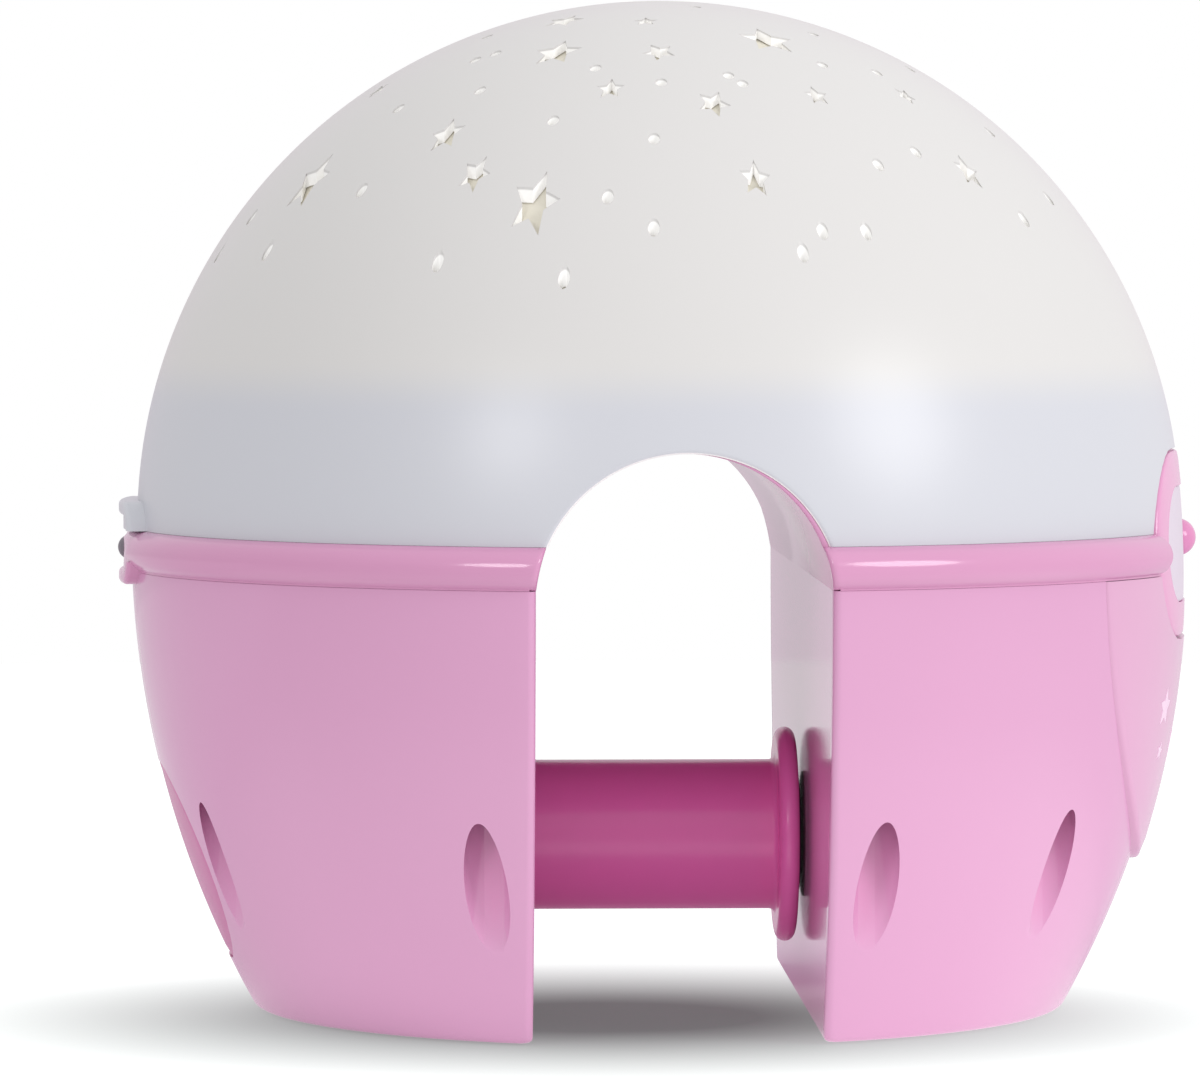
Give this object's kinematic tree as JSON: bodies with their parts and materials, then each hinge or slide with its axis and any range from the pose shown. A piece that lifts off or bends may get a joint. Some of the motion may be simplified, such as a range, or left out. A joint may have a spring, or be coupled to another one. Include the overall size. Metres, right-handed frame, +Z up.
{
  "type": "star night light projector",
  "caption": "Domed night light that straddles a cot rail: star-pierced white dome on a pink two-legged base, with a spring clamp across the slot and a front button.",
  "frame": {"origin": "on the plane of the feet, below the middle of the part's bounding box", "axes": "+Z up, +X towards the front panel and its button, Y along the rail slot"},
  "size_m": [0.1659, 0.1604, 0.154],
  "materials": {
    "dome": "satin, slightly translucent white",
    "diffuser": "matt, warm white",
    "ring": "glossy pink",
    "leg": "glossy pale pink",
    "cover": "glossy pale pink with printed white stars",
    "panel": "glossy pink",
    "window": "satin translucent white",
    "button": "glossy pink",
    "knob": "satin dark grey",
    "clamp": "glossy magenta",
    "pad": "matt, near black",
    "cap": "glossy pink, deeper than the leg",
    "bush": "satin, natural acetal",
    "tray": "matt black",
    "cell": "printed foil sleeve without any marking",
    "black_part": "matt black",
    "board": "satin green solder mask",
    "lamp": "clear cast resin",
    "steel": "zinc plated",
    "foot": "matt grey"
  },
  "bodies": {
    "housing": {"dome_shell": "dome", "diffuser_dome": "diffuser", "chassis": "ring", "rear_leg_shell": "leg", "front_leg_shell": "leg", "front_cover": "cover", "front_panel": "panel", "panel_window": "window", "button_switch": "black_part", "circuit_board": "board", "board_screws": "steel", "led_board": "board", "leds": "lamp", "mode_switch": "black_part", "clamp_spring": "steel", "guide_sleeve": "bush", "rear_cap": "cap", "speaker": "black_part", "battery_box": "tray", "batteries": "cell", "battery_contacts": "steel", "leg_screws": "steel", "foot_pads": "foot"},
    "clamp": {"clamp_plunger": "clamp", "grip_pad": "pad", "clamp_stop_ring": "clamp"},
    "button": {"front_button": "button"},
    "mode_knob": {"mode_switch_knob": "knob"},
    "door": {"battery_door": "leg", "door_contact": "steel", "door_screw": "steel"}
  },
  "joints": [
    {"name": "clamp_slide", "type": "slide", "parent": "housing", "child": "clamp", "axis": [-1, 0, 0], "range_m": [0, 0.027], "stiffness_N_per_m": 680, "springref_m": -0.012, "deforming": ["clamp_spring"]},
    {"name": "front_button_press", "type": "slide", "parent": "housing", "child": "button", "axis": [-1, 0, 0], "range_m": [0, 0.0012], "stiffness_N_per_m": 800, "springref_m": -0.0005},
    {"name": "mode_switch_slide", "type": "slide", "parent": "housing", "child": "mode_knob", "axis": [0, 1, 0], "range_m": [-0.004, 0.004]},
    {"name": "battery_door_drop", "type": "slide", "parent": "housing", "child": "door", "axis": [0, 0, -1], "range_m": [0, 0.02]}
  ]
}
